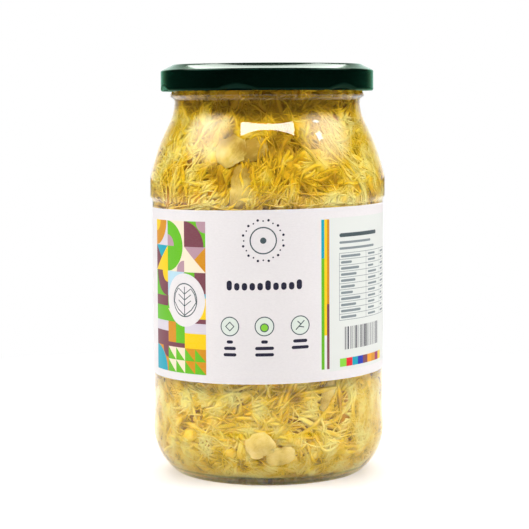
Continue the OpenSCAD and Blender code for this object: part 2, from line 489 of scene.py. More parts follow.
def cabbage(name, dark, mid, pale, glow=0.8, fibre_scale=(16, 3, 1), mottle=0.5):
    """Wet fermented cabbage: fibres along each shred, a tone for each that also holds painted light
    and shade, and light that soaks in. dark, mid and pale are its colours from the depths to the
    glass, so the dark and mid colours also stand for painted shade of depth."""
    f = Finish(name)
    # the tone attribute: random tone with painted light and shade in it
    tone_and_shade = f.add("Attribute", {"attribute_name": "tone_and_shade"}).outputs["Fac"]
    along = f.coordinates(fibre_scale, "UV")
    fibre = f.noise(along, 1.0, 3, 0.6)
    blotch = f.noise(f.coordinates(), 130, 3, 0.6)
    level = f.maths("ADD", tone_and_shade, f.maths("MULTIPLY", f.maths("SUBTRACT", fibre, 0.5), 0.5))
    level = f.maths("ADD", level, f.maths("MULTIPLY", f.maths("SUBTRACT", blotch, 0.5), mottle))
    f.set(
        Base_Color=f.ramp(level, (0.05, dark), (0.45, mid), (0.95, pale)),
        Roughness=f.ramp(fibre, (0.3, 0.38), (0.7, 0.6)),
        Specular_IOR_Level=0.08,
        Subsurface_Weight=glow,
        Subsurface_Radius=(1.0, 0.95, 0.8),
        Subsurface_Scale=0.45 * MM,
    )
    f.bump(fibre, 0.12, 0.1 * MM)
    return f.material


# -------------------- the glass and the lid


def make_jar():
    """The blown jar. Its inner face below the brine's level is wetted."""
    bm = turned(outside_line() + cavity_line()[::-1], JAR_STEPS)
    smooth(bm, 60)
    for face in bm.faces:
        middle = face.calc_center_median()
        inward = Vector((-middle.x, -middle.y, 0)).dot(face.normal) > 0
        floor = face.normal.z > 0.5 and middle.z > PUSH_UP + BOTTOM / 3
        if middle.z < FILL_HIGH.z and ((inward and middle.z > PUSH_UP) or floor):
            face.material_index = int(middle.z < NECK_Z or middle.xy.length < NECK_R - WALL / 2)
    finished("blown_jar", bm, "jar_glass", jar_glass(), wetted_glass(), replaces="glass_jar")


def make_lid():
    """The pressed lid: its rolled edge, six lugs, flat ring, sunken panel and safety button."""
    curl = (LID_R - CURL_R, LID_LOW.z + CURL_R)
    outline = (
        arc(curl, CURL_R, -225, 0, step=12)
        + [(LID_R, curl[1] + rise * MM) for rise in SKIRT_ROWS]
        + lid_line()
        + lid_line(LID_T)[::-1]
        + [(LID_R - LID_T, curl[1] + CURL_R)]
    )
    bm = turned(outline, LID_STEPS, closed=True)
    for vert in bm.verts:
        dent_curl(vert)
    for i in range(LUGS):
        add_lug(bm, LUG_TURN + i * TAU / LUGS - math.pi / 2)
    smooth(bm, 50)
    for face in bm.faces:
        face.material_index = int(face.normal.z > 0.5)
    skirt, top = lid_enamel("lid_enamel", 0.06), lid_enamel("lid_top", 0.75)
    finished("pressed_lid", bm, "lid_enamel", skirt, top, replaces="lid")


def dent_curl(vert):
    """Above each lug the rolled edge is pressed in along a low arch."""
    turn = math.atan2(vert.co.y, vert.co.x) + math.pi / 2 - LUG_TURN
    away = abs((turn + TAU / LUGS / 2) % (TAU / LUGS) - TAU / LUGS / 2)
    arch = DENT_H * (1 - (away / DENT_ARC) ** 2)
    high = vert.co.z - LID_LOW.z
    if vert.co.xy.length > LID_R - 3 * CURL_R and high < arch:
        press = DENT_IN * (1 - high / arch) * min(1.0, arch / DENT_H * 2)
        vert.co.xy *= 1 - press / vert.co.xy.length


def add_lug(bm, turn):
    """One lug: a tab that reaches in from the rolled edge, thinner at its tip."""
    low, high = LID_LOW.z + LUG_FOOT, LID_LOW.z + 2 * CURL_R
    root = LID_R - CURL_R
    outline = [(LUG_REACH, low + LID_T), (root, low), (root, high), (LUG_REACH, high)]
    side = turn - LUG_ARC / 2
    points = [bm.verts.new((x * math.cos(side), x * math.sin(side), z)) for x, z in outline]
    spun(bm, [bm.faces.new(points)], LUG_ARC, 6, use_duplicate=False)


# -------------------- the label and its print

PAPER_T = 0.12 * MM
LABEL_R = LABEL_HIGH.x
LABEL_SKEW = math.tan(math.radians(1))
SEAM_GAP = 11
SKEW_RISE = LABEL_R * LABEL_SKEW / MM
LABEL_FOOT = LABEL_LOW.z / MM + SKEW_RISE
LABEL_HEAD = LABEL_HIGH.z / MM - SKEW_RISE

INKS = {
    "plum": (125, 68, 80),
    "lime": (104, 190, 28),
    "leaf": (140, 214, 60),
    "yellow": (253, 208, 8),
    "ochre": (216, 146, 22),
    "cream": (250, 232, 205),
    "lilac": (222, 214, 224),
    "mauve": (188, 150, 162),
    "sky": (186, 220, 235),
    "teal": (8, 165, 188),
    "navy": (30, 26, 52),
    "slate": (70, 84, 88),
    "mist": (228, 236, 226),
    "panel": (229, 231, 226),
    "grey": (132, 142, 146),
    "orange": (248, 162, 10),
    "red": (228, 34, 46),
    "blue": (28, 54, 180),
    "berry": (158, 28, 92),
    "plain": (240, 236, 237),
}


class Sheet:
    """A flat sheet of shapes, each laid over those before it. Lengths are millimetres: along
    the paper from the middle of the front, and up from the jar's foot."""

    def __init__(self):
        self.outlines = []
        self.inks = []

    def shape(self, ink, points):
        self.outlines.append(points)
        self.inks.append(ink)

    def block(self, ink, u0, z0, u1, z1):
        self.shape(ink, [(u0, z0), (u1, z0), (u1, z1), (u0, z1)])

    def disc(self, ink, u, z, r, steps=28):
        turns = [TAU * i / steps for i in range(steps)]
        self.shape(ink, [(u + r * math.cos(t), z + r * math.sin(t)) for t in turns])

    def ring(self, ink, inside, u, z, r, line=0.35, steps=32):
        self.disc(ink, u, z, r, steps)
        self.disc(inside, u, z, r - line, steps)

    def wedge(self, ink, u, z, r, start, steps=10):
        """A quarter disc about a corner."""
        turns = [start + math.pi / 2 * i / steps for i in range(steps + 1)]
        self.shape(ink, [(u, z)] + [(u + r * math.cos(t), z + r * math.sin(t)) for t in turns])

    def peg(self, ink, u, z0, z1, wide):
        """An upright line with round ends."""
        r = wide / 2
        turns = np.linspace(0, math.pi, 8)
        foot = [(u - r * math.cos(t), z0 + r - r * math.sin(t)) for t in turns]
        head = [(u + r * math.cos(t), z1 - r + r * math.sin(t)) for t in turns]
        self.shape(ink, foot + head)

    def bar(self, ink, u0, u1, z, height):
        """A line with round ends."""
        r = height / 2
        turns = np.linspace(0, math.pi, 6)
        left = [(u0 + r - r * math.sin(t), z + r * math.cos(t)) for t in turns]
        right = [(u1 - r + r * math.sin(t), z - r * math.cos(t)) for t in turns]
        self.shape(ink, left + right)

    def stroke(self, ink, points, line=0.4):
        """A thin line through some points."""
        for (u0, z0), (u1, z1) in zip(points, points[1:]):
            way = Vector((u1 - u0, z1 - z0)).normalized() * line / 2
            side = Vector((-way.y, way.x))
            ends = [(u0, z0, -1, 1), (u0, z0, -1, -1), (u1, z1, 1, -1), (u1, z1, 1, 1)]
            corners = []
            for u, z, a, b in ends:
                corners.append((u + way.x * a + side.x * b, z + way.y * a + side.y * b))
            self.shape(ink, corners)


TILE_U = 10.6
TILE_Z = 9.8
TILES_FROM = (-56.8, 44.0)
TILE_COLUMNS = 3
TILE_ROWS = 6
TILE_GROUNDS = [
    "cream", "lilac", "yellow", "ochre", "cream", "mauve", "lilac", "lime", "plum", "sky"
]
HEAD_AT = (-35.6, 72.4)
HEAD_R = 6.6
HEAD_GROUND_R = 10.3
TILE_FIGURES = ["plum", "lime", "yellow", "ochre", "teal", "plum", "mauve", "lime", "yellow"]


def tile(sheet, kind, turn, ground, first, second, u, z):
    """One square of the border pattern, turned by quarters: quarter rings, small triangles,
    half squares, bands or two wedges."""
    corners = [(u, z), (u + TILE_U, z), (u + TILE_U, z + TILE_Z), (u, z + TILE_Z)]
    corners = corners[turn:] + corners[:turn]
    middle = (u + TILE_U / 2, z + TILE_Z / 2)
    start = turn * math.pi / 2
    sheet.block(ground, u, z, u + TILE_U, z + TILE_Z)
    if kind == 0:
        sheet.wedge(first, *corners[0], TILE_Z, start)
        sheet.wedge(second, *corners[0], TILE_Z * 0.45, start)
    elif kind == 1:
        for du in (0, TILE_U / 2):
            for dz in (0, TILE_Z / 2):
                a, b = u + du, z + dz
                sheet.shape(first, [(a, b), (a + TILE_U / 2, b), (a, b + TILE_Z / 2)])
    elif kind == 2:
        sheet.block(first, u, z, u + TILE_U / 2, z + TILE_Z)
        sheet.block(second, u, z, u + TILE_U, z + TILE_Z * 0.18)
    elif kind == 3:
        sheet.wedge(first, *corners[0], TILE_Z, start)
        sheet.wedge(second, *corners[2], TILE_Z * 0.45, start + math.pi)
    elif kind == 4:
        sheet.shape(first, [corners[0], corners[1], middle])
        sheet.shape(second, [corners[1], corners[2], middle])
    else:
        sheet.block(first, u, z, u + TILE_U, z + TILE_Z * 0.6)


def print_tiles(sheet):
    """The border pattern: every kind of square in a shuffled order, and a cabbage on it."""
    rng = np.random.default_rng(23)
    kinds = [i % 6 for i in range(TILE_ROWS * TILE_COLUMNS)]
    rng.shuffle(kinds)
    for i, kind in enumerate(kinds):
        ground = TILE_GROUNDS[rng.integers(len(TILE_GROUNDS))]
        inks = [ink for ink in TILE_FIGURES if ink != ground]
        first = inks[rng.integers(len(inks))]
        inks = [ink for ink in inks if ink != first]
        second = inks[rng.integers(len(inks))]
        row, column = divmod(i, TILE_COLUMNS)
        u, z = TILES_FROM[0] + column * TILE_U, TILES_FROM[1] + row * TILE_Z
        tile(sheet, kind, rng.integers(4), ground, first, second, u, z)
    sheet.disc("plain", *HEAD_AT, HEAD_GROUND_R, 48)
    draw_head(sheet, *HEAD_AT, HEAD_R)


def draw_head(sheet, u, z, r):
    """A plain round cabbage head in outline, with a rib and side veins."""
    sheet.ring("slate", "plain", u, z, r, 0.45, 36)
    for side in (-1, 1):
        points = []
        for t in (0.9, 0.5, 0.0):
            points.append((u + side * r * 0.92 * math.cos(t), z + r * 0.95 * math.sin(t) - r * 0.1))
        points += [(u + side * r * 0.55, z - r * 0.55), (u, z - r * 0.9)]
        sheet.stroke("slate", points, 0.4)
        for rise in (-0.35, 0.0, 0.35):
            foot, tip = (u, z + r * rise), (u + side * r * 0.5, z + r * (rise + 0.32))
            sheet.stroke("slate", [foot, tip], 0.35)
    sheet.stroke("slate", [(u, z - r * 0.9), (u, z + r * 0.75)], 0.45)


EMBLEM_AT = (-1.8, 95.6)
EMBLEM_R = 5.2
EMBLEM_DOTS = 24
NAME_FOOT = 76.8
NAME_TALL = 80.6
NAME_LOW = 79.7
NAME_TALL_PEGS = (0, 5, 9)
NAME_PLACES = np.linspace(-15.0, 11.9, 10)
SIGN_Z = 63.1
SIGN_R = 3.75
LINE_Z = 57.2
LINE_STEP = 2.45

# The middle of each sign, and half the length of each line under it.
SIGNS = {
    -14.9: (1.3, 2.4, 2.6),
    -1.5: (1.3, 3.6, 3.6),
    12.2: (2.8, 3.4),
}


def print_front(sheet):
    """The emblem, pegs in the name's place, and three signs over lines in place of words."""
    for i in range(EMBLEM_DOTS):
        turn = TAU * i / EMBLEM_DOTS
        reach, r = (7.9, 0.5) if i % 2 else (7.4, 0.32)
        u, z = EMBLEM_AT[0] + reach * math.cos(turn), EMBLEM_AT[1] + reach * math.sin(turn)
        sheet.disc("navy", u, z, r, 10)
    sheet.ring("slate", "plain", *EMBLEM_AT, EMBLEM_R, 0.5, 36)
    sheet.disc("slate", *EMBLEM_AT, 1.2, 16)
    for i, u in enumerate(NAME_PLACES):
        sheet.peg("navy", u, NAME_FOOT, NAME_TALL if i in NAME_TALL_PEGS else NAME_LOW, 2.1)
    for draw, (u, halves) in zip((draw_diamond, draw_dot, draw_sprig), SIGNS.items()):
        sheet.ring("slate", "mist", u, SIGN_Z, SIGN_R, 0.4)
        draw(sheet, u)
        for line, half in enumerate(halves):
            sheet.bar("navy", u - half, u + half, LINE_Z - LINE_STEP * line, 1.25)


def draw_diamond(sheet, u):
    sheet.shape("slate", [(u - 1.9, 63.1), (u, 61.2), (u + 1.9, 63.1), (u, 65.0)])
    sheet.shape("mist", [(u - 1.4, 63.1), (u, 61.7), (u + 1.4, 63.1), (u, 64.5)])


def draw_dot(sheet, u):
    sheet.ring("slate", "leaf", u, 62.6, 1.7, 0.4, 20)


def draw_sprig(sheet, u):
    sheet.stroke("slate", [(u - 1.6, 61.6), (u + 1.5, 64.8)], 0.4)
    sheet.stroke("slate", [(u - 0.5, 62.7), (u + 1.3, 62.4)], 0.4)
    sheet.stroke("slate", [(u + 0.3, 63.5), (u - 0.9, 64.6)], 0.4)


SWATCHES = ["leaf", "red", "teal", "blue", "plum", "orange", "ochre", "berry", "yellow"]
SWATCH_W = 3.27


def print_strips(sheet):
    """Three narrow upright strips between the front and the table, and the table's panel."""
    low, high = 45.4, 102.7
    sheet.block("panel", 24.4, low - 1, 70.0, high + 0.4)
    sheet.block("lime", 20.9, low, 22.2, 88.0)
    sheet.block("teal", 20.9, 88.0, 22.2, high)
    sheet.block("yellow", 22.2, 58.4, 23.3, high)
    sheet.block("plum", 23.3, low, 24.4, 70.4)
    sheet.block("ochre", 23.3, 70.4, 24.4, high)


def print_table(sheet):
    """A ruled table with lines in place of its words, a bar strip and a row of swatches."""
    left, right, top, rows, high = 29.1, 66.8, 89.4, 12, 2.34
    sheet.bar("slate", left, 53.0, 96.3, 1.5)
    sheet.bar("grey", left, 48.0, 93.5, 0.9)
    sheet.bar("grey", left, 51.0, 91.2, 0.9)
    rng = np.random.default_rng(4)
    for row in range(rows):
        z = top - high * row
        sheet.block("grey", left, z - 0.1, right, z + 0.1)
        if row < rows - 1:
            sheet.bar("grey", left + 0.7, left + rng.uniform(6, 12), z - 1.2, 0.95)
            sheet.bar("grey", 46.0, 46.0 + rng.uniform(4, 8), z - 1.2, 0.8)
            sheet.bar("grey", 58.5, 58.5 + rng.uniform(3, 6), z - 1.2, 0.8)
    for u in (left, 44.6, 57.2, right):
        sheet.block("grey", u - 0.1, top - high * (rows - 1), u + 0.1, top)
    u = 31.8
    while u < 55.0:
        wide = rng.choice([0.25, 0.4, 0.65])
        sheet.block("navy", u, 52.2, u + wide, 61.0)
        u += wide + rng.choice([0.3, 0.5, 0.8])
    for i, colour in enumerate(SWATCHES):
        u = 29.3 + SWATCH_W * i
        sheet.block(colour, u, 45.7, u + SWATCH_W, 48.9)


def print_back(sheet):
    """The part of the band that faces away: lines in place of its words."""
    rng = np.random.default_rng(8)
    for start, wide in ((-128.0, 42.0), (80.0, 46.0)):
        sheet.bar("navy", start, start + wide * 0.5, 97.0, 1.8)
        for row in range(13):
            reach = wide * rng.uniform(0.75, 1.0) if row % 5 != 4 else wide * 0.4
            sheet.bar("grey", start, start + reach, 91.5 - 3.3 * row, 0.95)


def make_label():
    """The paper band, from one side of its bare seam to the other. It sits a little askew."""
    sheet = Sheet()
    half = (TAU * LABEL_R / MM - SEAM_GAP) / 2
    sheet.block("plain", -half, LABEL_FOOT, half, LABEL_HEAD)
    for draw in (print_tiles, print_front, print_strips, print_table, print_back):
        draw(sheet)
    points, faces = [], []
    for outline in sheet.outlines:
        faces.append(list(range(len(points), len(points) + len(outline))))
        points += [Vector(p) for p in outline]
    edges = []
    for u in np.linspace(-half, half, 180)[1:-1]:
        edges.append((len(points), len(points) + 1))
        points += [Vector((u, LABEL_FOOT)), Vector((u, LABEL_HEAD))]
    flat = delaunay_2d_cdt(points, edges, faces, 1, 1e-5, True)
    inks = list(INKS)
    bm = bmesh.new()
    verts = [bm.verts.new(on_band(*p)) for p in flat[0]]
    for corners, over in zip(flat[2], flat[5]):
        face = bm.faces.new([verts[i] for i in corners])
        face.material_index = 1 + inks.index(sheet.inks[max(over)])
    for face in bm.faces:
        face.normal_update()
        if face.normal.xy.dot(face.calc_center_median().xy) < 0:
            face.normal_flip()
    bmesh.ops.solidify(bm, geom=bm.faces[:], thickness=PAPER_T)
    for face in bm.faces:
        face.normal_update()
        out = face.calc_center_median().xy.normalized()
        if face.normal.xy.dot(out) < 0.9:
            face.material_index = 0
    smooth(bm, 40)
    paints = [ink(name, srgb(*colour)) for name, colour in INKS.items() if name != "plain"]
    finishes = [label_paper(), *paints, label_paper()]
    finished("paper_band", bm, "label_paper", *finishes, replaces="label")


def on_band(u, z):
    """Where a point of the flat sheet comes to lie round the jar."""
    turn = u * MM / LABEL_R
    x, y = LABEL_R * math.sin(turn), -LABEL_R * math.cos(turn)
    return (x, y, z * MM + x * LABEL_SKEW)


# -------------------- the sauerkraut

CORE_DEPTH = 1.15 * MM
CORE_EDGE = 3 * MM
INTO_WALL = 0.12 * MM
RUN_STEP = 0.5 * MM
DIVE = 1.1 * MM
HOLLOW = 0.3 * MM
UNDER_LABEL = 7 * MM
SEAM_TURN = math.radians(13)
UPRIGHT_FROM = 100
UPRIGHT_OVER = 12
SHOULDER_FROM = 106 * MM
SHOULDER_OVER = 16 * MM
LID_SHADE_FROM = 141 * MM
LID_SHADE_OVER = 6 * MM

# Sections of a shred, as shares of half its width and half its thickness.
LENS_SECTION = ((1, 0), (0, 1), (-1, 0), (0, -1))
FLAT_SECTION = ((1, 0.3), (0, 1), (-1, 0.3), (-1, -0.3), (0, -1), (1, -0.3))

# Round slices of stalk and broad leaf pieces that lie against the glass: the turn from the
# front and the lean in degrees, then height, length and width in millimetres.
ROUNDS = (
    (-19.5, 60, 128.6, 12.5, 11.5),
    (-8, 20, 129.6, 12, 9.5),
    (-4, 30, 16.5, 11, 9.5),
    (-14.5, 78, 115.5, 17, 8),
    (6, 10, 13.0, 11, 8),
    (31, 65, 36.0, 14, 5),
    (112, 30, 130.0, 13, 7),
    (150, 70, 119.0, 16, 6),
    (-95, 10, 122.0, 10, 9),
    (135, 75, 18.0, 15, 7),
    (-80, 40, 30.0, 14, 6),
)


@dataclass
class Cut:
    """One cut of cabbage. Pairs are the least and the most, in millimetres. Depth is behind the
    glass, spread is how far headings stray in radians, curl is in radians to the metre, twist
    is in radians from end to end, and crowding under 1 keeps shreds deeper."""

    count: int
    rings: int
    length: tuple
    width: tuple
    thick: tuple
    depth: tuple
    spread: float
    curl: float
    twist: float
    paleness: float
    section: tuple = LENS_SECTION
    blunt: float = 0.35
    crowding: float = 1.0
    laid: bool = False


FINE = Cut(2850, 9, (7, 24), (0.6, 1.1), (0.25, 0.35), (0.0, 0.5), 0.35, 40, 0.8, 0.62)
THREAD = Cut(2400, 9, (5, 18), (0.4, 0.7), (0.2, 0.3), (-0.05, 0.3), 0.45, 50, 0.8, 0.66)
BROAD = Cut(2850, 9, (7, 22), (1.2, 2.8), (0.25, 0.4), (0.1, 0.8), 0.4, 45, 0.6, 0.6)
CURLED = Cut(1600, 12, (6, 16), (0.7, 1.6), (0.25, 0.4), (0.0, 0.6), 1.0, 130, 0.9, 0.64)
FLAKE = Cut(
    900, 8, (5, 13), (2.6, 6.0), (0.3, 0.5), (0.15, 0.8), 0.7, 60, 0.3, 0.6,
    FLAT_SECTION, blunt=0.6, crowding=0.8,
)
SLICE = Cut(
    len(ROUNDS), 14, (8, 12), (8, 12), (0.9, 1.3), (0.1, 0.75), 0, 0, 0, 0.6,
    FLAT_SECTION, blunt=0.5, laid=True,
)


class Wall:
    """The cavity's outline by the length run along it, with the normal that points inwards."""

    def __init__(self):
        line = np.array(cavity_line())
        line = line[np.r_[True, np.hypot(*np.diff(line, axis=0).T) > 1e-7]]
        top = FILL_HIGH.z
        if line[-1, 1] < top:
            line = np.vstack([line, [BORE_R, top]])
        run = np.r_[0, np.cumsum(np.hypot(*np.diff(line, axis=0).T))]
        self.run = np.arange(0, run[-1], RUN_STEP)
        self.r = np.maximum(np.interp(self.run, run, line[:, 0]), 0)
        self.z = np.interp(self.run, run, line[:, 1])
        dr, dz = np.gradient(self.r, self.run), np.gradient(self.z, self.run)
        size = np.hypot(dr, dz)
        self.nr, self.nz = -dz / size, dr / size
        self.length = self.run[-1]
        rng = np.random.default_rng(3)
        self.flow = waves(rng, 24, 60 * MM, 18 * MM)
        self.lump = waves(rng, 40, 26 * MM, 7 * MM)
        self.rounds = [laid_at(self, *row) for row in ROUNDS]

    def radius(self, s):
        return np.interp(s, self.run, self.r)

    def height(self, s):
        return np.interp(s, self.run, self.z)

    def at(self, turn, s, depth):
        """Places in space, and the inward normals there. A turn of 0 is the front."""
        nr, nz = np.interp(s, self.run, self.nr), np.interp(s, self.run, self.nz)
        r = np.maximum(self.radius(s) + nr * depth, 0.2 * MM)
        z = self.height(s) + nz * depth
        place = np.stack([r * np.sin(turn), -r * np.cos(turn), z], -1)
        normal = np.stack([nr * np.sin(turn), -nr * np.cos(turn), nz], -1)
        return place, normal


def waves(rng, count, longest, shortest):
    """A smooth random field over the wall, between about -1 and 1."""
    size = np.exp(rng.uniform(math.log(shortest), math.log(longest), count))
    way = rng.uniform(0, TAU, count)
    around = np.round(np.cos(way) * INNER_R * TAU / size)
    along = np.sin(way) * TAU / size
    start = rng.uniform(0, TAU, count)

    def field(turn, s):
        total = sum(np.sin(a * turn + b * s + c) for a, b, c in zip(around, along, start))
        return total / math.sqrt(count)

    return field


def laid_at(wall, turn, lean, height, long, wide):
    """One listed piece: its turn, run, heading, length and width."""
    s = wall.run[wall.length / 8 < wall.run]
    s = s[np.argmin(np.abs(wall.height(s) - height * MM))]
    return math.radians(turn), s, math.radians(lean), long * MM, wide * MM


def under_rounds(wall, turn, s):
    """How far shreds dive to pass behind the laid pieces: 1 behind a piece and 0 beside it."""
    most = np.zeros(np.shape(turn))
    for at_turn, at_s, lean, long, wide in wall.rounds:
        across = (np.remainder(turn - at_turn + math.pi, TAU) - math.pi) * wall.radius(at_s)
        up = s - at_s
        u = across * math.cos(lean) + up * math.sin(lean)
        v = up * math.cos(lean) - across * math.sin(lean)
        away = np.hypot(u / (long / 2), v / (wide / 2))
        most = np.maximum(most, np.clip((1.25 - away) / 0.3, 0, 1))
    return most


def shows(wall, turn, s):
    """Where the fill can be seen: above and below the label and in the gap at its seam."""
    z = wall.height(s)
    above = z > LABEL_HIGH.z - UNDER_LABEL
    below = z < LABEL_LOW.z + UNDER_LABEL
    seam = np.abs(np.abs(turn) - math.pi) < SEAM_TURN
    return above | below | seam


def sown(wall, rng, count):
    """Random places over the part of the wall that shows."""
    share = wall.r / wall.r.sum()
    turns, runs = [], []
    while sum(len(t) for t in turns) < count:
        s = rng.choice(wall.run, count, p=share) + rng.uniform(0, RUN_STEP, count)
        turn = rng.uniform(-math.pi, math.pi, count)
        keep = shows(wall, turn, s)
        turns.append(turn[keep])
        runs.append(s[keep])
    return np.concatenate(turns)[:count], np.concatenate(runs)[:count]


def in_mm(pair):
    return tuple(value * MM for value in pair)


def paths(wall, rng, cut):
    """Where each shred runs: the turn and the run at each of its rings, with its length and
    width. Bundles follow one flow, and each shred wanders and bends as it goes."""
    count = cut.count
    turn, s = sown(wall, rng, count)
    upright = np.clip((wall.height(s) / MM - UPRIGHT_FROM) / UPRIGHT_OVER, 0, 1)
    heading = 0.2 + 1.0 * upright + wall.flow(turn, s) * 1.5 + rng.normal(0, cut.spread, count)
    bend = rng.normal(0, cut.curl, count)
    long = rng.uniform(*in_mm(cut.length), count)
    wide = rng.uniform(*in_mm(cut.width), count)
    if cut.laid:
        turn, s, heading, long, wide = (np.array(column) for column in zip(*wall.rounds))
        turn = turn - np.cos(heading) * long / 2 / wall.radius(s)
        s = s - np.sin(heading) * long / 2
    step = long / (cut.rings - 1)
    wiggle = rng.uniform(0.05, 0.35, count)
    wiggle_at = rng.uniform(0, TAU, count)
    wiggle_by = rng.uniform(0.5, 1.1, count)
    turns, runs = np.empty((count, cut.rings)), np.empty((count, cut.rings))
    for i in range(cut.rings):
        turns[:, i], runs[:, i] = turn, s
        way = heading + wiggle * np.sin(wiggle_at + wiggle_by * i)
        turn = turn + np.cos(way) * step / np.maximum(wall.radius(s), 8 * MM)
        s = s + np.sin(way) * step
        s = wall.length - np.abs(wall.length - np.abs(s))
        heading = heading + bend * step
    return turns, runs, long, wide


def tone_and_shade_of_rings(rng, cut, turns, z, lump, sunk):
    """How pale each ring is, with light and shade painted in: painted shade where it lies deep,
    painted light where the mass swells out to the glass and painted shade where it falls back,
    painted light on the sides of the shoulder and painted shade at its front, and a painted
    shadow under the lid. Each shred also has a random tone of its own."""
    # painted shade: each ring darker the deeper it lies behind the glass; the normal term is each
    # shred's own random tone
    tone_and_shade = cut.paleness + rng.normal(0, 0.07, cut.count)[:, None] - 0.1 * sunk / MM
    high = np.clip((z - SHOULDER_FROM) / SHOULDER_OVER, 0, 1)
    # painted light and shade on the mass's bulges: paler where it swells out to the glass, darker
    # where it falls back
    tone_and_shade = tone_and_shade + (0.24 - 0.08 * high) * lump + 0.03 * rng.normal(0, 1, turns.shape)
    # painted light on the sides of the shoulder and painted shade at its front
    tone_and_shade = tone_and_shade + high * (0.06 - 0.46 * np.exp(-(((turns - 0.02) / 0.5) ** 2)))
    # painted shadow of the lid on the fill under it
    return tone_and_shade - 0.5 * np.clip((z - LID_SHADE_FROM) / LID_SHADE_OVER, 0, 1)


def make_shreds(wall, rng, name, cut, finish):
    """All the shreds of one cut, joined as one mesh. Each twists and dips, dives behind the
    laid pieces, and goes no further out than just into the glass."""
    count = cut.count
    turns, runs, long, girth = paths(wall, rng, cut)
    share = np.linspace(0, 1, cut.rings)
    near, far = in_mm(cut.depth)
    deep = near + (far - near) * rng.uniform(0, 1, count) ** cut.crowding
    if cut.laid:
        deep = np.where(np.arange(count) % 2, far, near)
    dip = rng.uniform(0.05, 0.3, count) * MM * (not cut.laid)
    swing, at = rng.uniform(1.5, 7, count), rng.uniform(0, TAU, count)
    sunk = deep[:, None] + dip[:, None] * np.sin(at[:, None] + swing[:, None] * share)
    lump = wall.lump(turns, runs)
    if not cut.laid:
        dives = np.where(rng.uniform(0, 1, count) < 0.8, DIVE, 0)[:, None]
        sunk = sunk + HOLLOW * np.maximum(1 - lump, 0) + dives * under_rounds(wall, turns, runs)
    half = 0.5 * girth[:, None] * rng.uniform(0.92, 1.08, (count, cut.rings))
    half = half * (0.08 + 0.92 * np.sin(math.pi * (0.04 + 0.92 * share)) ** cut.blunt)
    if cut.laid:
        half = half * (1 + 0.07 * np.sin(at[:, None] + (swing[:, None] + 4) * share))
    thin = 0.5 * rng.uniform(*in_mm(cut.thick), count)[:, None]
    thin = thin * (0.5 + 0.5 * np.sin(math.pi * share) ** 0.3)
    lie = rng.normal(0, 0.1, count) + deep / MM * rng.normal(0, 0.18, count)
    lie = (lie * (not cut.laid))[:, None] + rng.normal(0, cut.twist, count)[:, None] * (share - 0.5)
    reach = np.abs(np.sin(lie)) * half + np.abs(np.cos(lie)) * thin
    sunk = np.maximum(sunk, reach - INTO_WALL)
    place, normal = wall.at(turns, runs, sunk)
    corners = ribbons(place, normal, half, thin, lie, cut.section)
    tone_and_shade = tone_and_shade_of_rings(rng, cut, turns, place[..., 2], lump, sunk)
    joined_tubes(name, corners, long, tone_and_shade, finish)


def ribbons(place, normal, half, thin, lie, section):
    """The corners of every ring: its section set across the shred's path and rolled by lie."""
    along = np.gradient(place, axis=1)
    along /= np.linalg.norm(along, axis=2, keepdims=True) + 1e-12
    across = np.cross(along, normal)
    across /= np.linalg.norm(across, axis=2, keepdims=True) + 1e-12
    out = np.cross(across, along)
    wide = np.cos(lie)[..., None] * across + np.sin(lie)[..., None] * out
    flat = -np.sin(lie)[..., None] * across + np.cos(lie)[..., None] * out
    corners = [place + half[..., None] * wide * a + thin[..., None] * flat * b for a, b in section]
    return np.stack(corners, 2)


def joined_tubes(name, corners, long, tone_and_shade, finish):
    """One mesh from many closed tubes: corners is tube, ring, corner, place. Each tube has its
    own stretch of the UV map, so that its fibres run along it and differ from its neighbours'."""
    count, rings, sides, _ = corners.shape
    first = (np.arange(count) * rings * sides)[:, None, None]
    ring = (np.arange(rings - 1) * sides)[None, :, None]
    side = np.arange(sides)[None, None, :]
    after = (side + 1) % sides
    a, b = first + ring + side, first + ring + after
    quads = np.stack([b, a, a + sides, b + sides], -1).reshape(-1, 4)
    start = first[:, 0, :] + np.arange(sides)
    end = first[:, 0, :] + (rings - 1) * sides + np.arange(sides)[::-1]
    caps = np.concatenate([start, end])
    mesh = bpy.data.meshes.new(name)
    mesh.vertices.add(corners.size // 3)
    mesh.vertices.foreach_set("co", corners.astype(np.float32).ravel())
    loops = np.concatenate([quads.ravel(), caps.ravel()])
    mesh.loops.add(len(loops))
    mesh.loops.foreach_set("vertex_index", loops.astype(np.int32))
    mesh.polygons.add(len(quads) + len(caps))
    starts = np.r_[np.arange(len(quads)) * 4, len(quads) * 4 + np.arange(len(caps)) * sides]
    mesh.polygons.foreach_set("loop_start", starts.astype(np.int32))
    mesh.update(calc_edges=True)
    mesh.polygons.foreach_set("use_smooth", np.ones(len(mesh.polygons), bool))
    mark = mesh.attributes.new("tone_and_shade", "FLOAT", "POINT")
    tones_of_corners = np.repeat(tone_and_shade[..., None], sides, 2)
    mark.data.foreach_set("value", tones_of_corners.astype(np.float32).ravel())
    near = np.broadcast_to(np.arange(sides) / sides, (count, rings, sides))
    far = np.linspace(0, 1, rings)[None, :, None] * (long / (10 * MM))[:, None, None]
    far = far + np.arange(count)[:, None, None] * 3.7
    points = np.stack([near, np.broadcast_to(far, near.shape)], -1).reshape(-1, 2)
    layer = mesh.uv_layers.new(name="UVMap")
    layer.data.foreach_set("uv", points[loops].astype(np.float32).ravel())
    mesh.validate()
    placed(name, mesh, "sauerkraut", finish)


